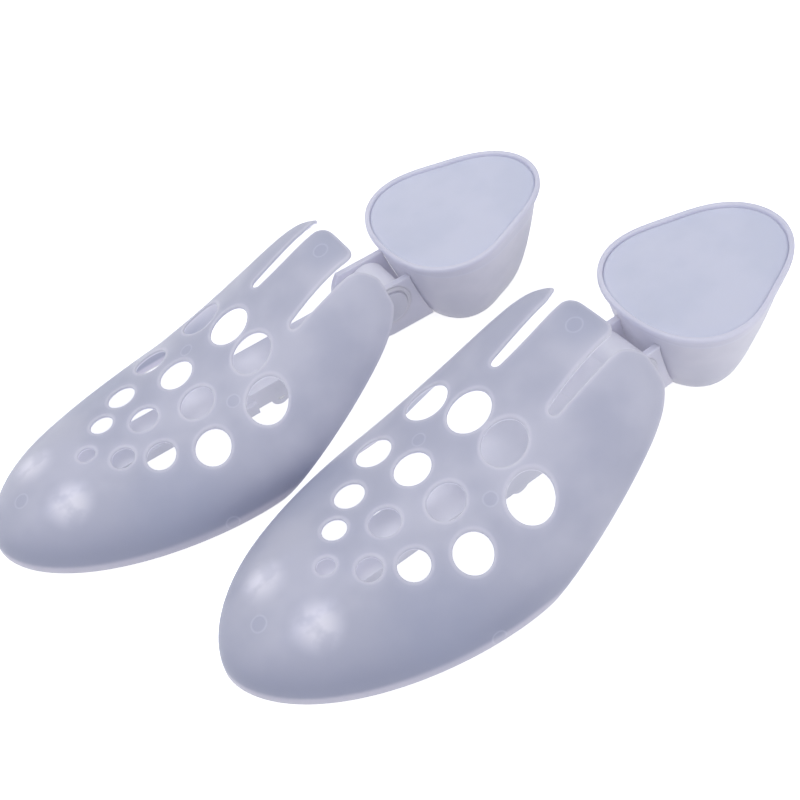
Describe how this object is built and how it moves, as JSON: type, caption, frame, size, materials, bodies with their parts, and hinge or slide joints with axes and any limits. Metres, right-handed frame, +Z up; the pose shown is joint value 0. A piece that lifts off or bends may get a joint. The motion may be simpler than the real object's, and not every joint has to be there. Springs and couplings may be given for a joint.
{
  "type": "shoe stretcher",
  "caption": "Vented thin plastic foreparts, each on a notched rail with a latched sliding arm and a hinged hollow heel block, that hold shoes in shape.",
  "frame": {"origin": "middle of the pair's bounding box, on the plane that it stands on", "axes": "+X runs from the toes to the heels, +Y to the left side and +Z up"},
  "size_m": [0.2818, 0.1901, 0.0548],
  "materials": {
    "frosted_shell": "translucent frosted lavender-white",
    "frosted_lid": "translucent frosted lavender-white",
    "pale_plastic": "satin off-white",
    "steel": "bright drawn wire"
  },
  "bodies": {
    "foreparts": {"right_toe_shell": "frosted_shell", "right_rail": "pale_plastic", "right_nose_pin": "pale_plastic", "left_toe_shell": "frosted_shell", "left_rail": "pale_plastic", "left_nose_pin": "pale_plastic"},
    "right_slider": {"right_arm": "pale_plastic", "right_latch_pin": "steel", "right_latch_spring": "steel"},
    "right_release": {"right_latch": "pale_plastic"},
    "right_heel": {"right_heel_cup": "frosted_shell", "right_heel_lid": "frosted_lid", "right_hinge_pin": "pale_plastic"},
    "left_slider": {"left_arm": "pale_plastic", "left_latch_pin": "steel", "left_latch_spring": "steel"},
    "left_release": {"left_latch": "pale_plastic"},
    "left_heel": {"left_heel_cup": "frosted_shell", "left_heel_lid": "frosted_lid", "left_hinge_pin": "pale_plastic"}
  },
  "joints": [
    {"name": "right_length", "type": "slide", "parent": "foreparts", "child": "right_slider", "axis": [1, 0, 0], "range_m": [-0.008, 0.024]},
    {"name": "right_latch_press", "type": "hinge", "parent": "right_slider", "child": "right_release", "pos_m": [0.0127, -0.04747, 0.0062], "axis": [0, 1, 0], "range_deg": [0, 9], "stiffness_Nm_per_rad": 0.03, "springref_deg": -8.59, "deforming": ["right_latch_spring"]},
    {"name": "right_heel_fold", "type": "hinge", "parent": "right_slider", "child": "right_heel", "pos_m": [0.0647, -0.04747, 0.022], "axis": [0, -1, 0], "range_deg": [0, 20]},
    {"name": "left_length", "type": "slide", "parent": "foreparts", "child": "left_slider", "axis": [0.9986, -0.0523, 0], "range_m": [-0.008, 0.024]},
    {"name": "left_latch_press", "type": "hinge", "parent": "left_slider", "child": "left_release", "pos_m": [-0.02646, 0.04601, 0.0062], "axis": [0.0523, 0.9986, 0], "range_deg": [0, 9], "stiffness_Nm_per_rad": 0.03, "springref_deg": -8.59, "deforming": ["left_latch_spring"]},
    {"name": "left_heel_fold", "type": "hinge", "parent": "left_slider", "child": "left_heel", "pos_m": [0.02547, 0.04329, 0.022], "axis": [-0.0523, -0.9986, 0], "range_deg": [0, 20]}
  ]
}
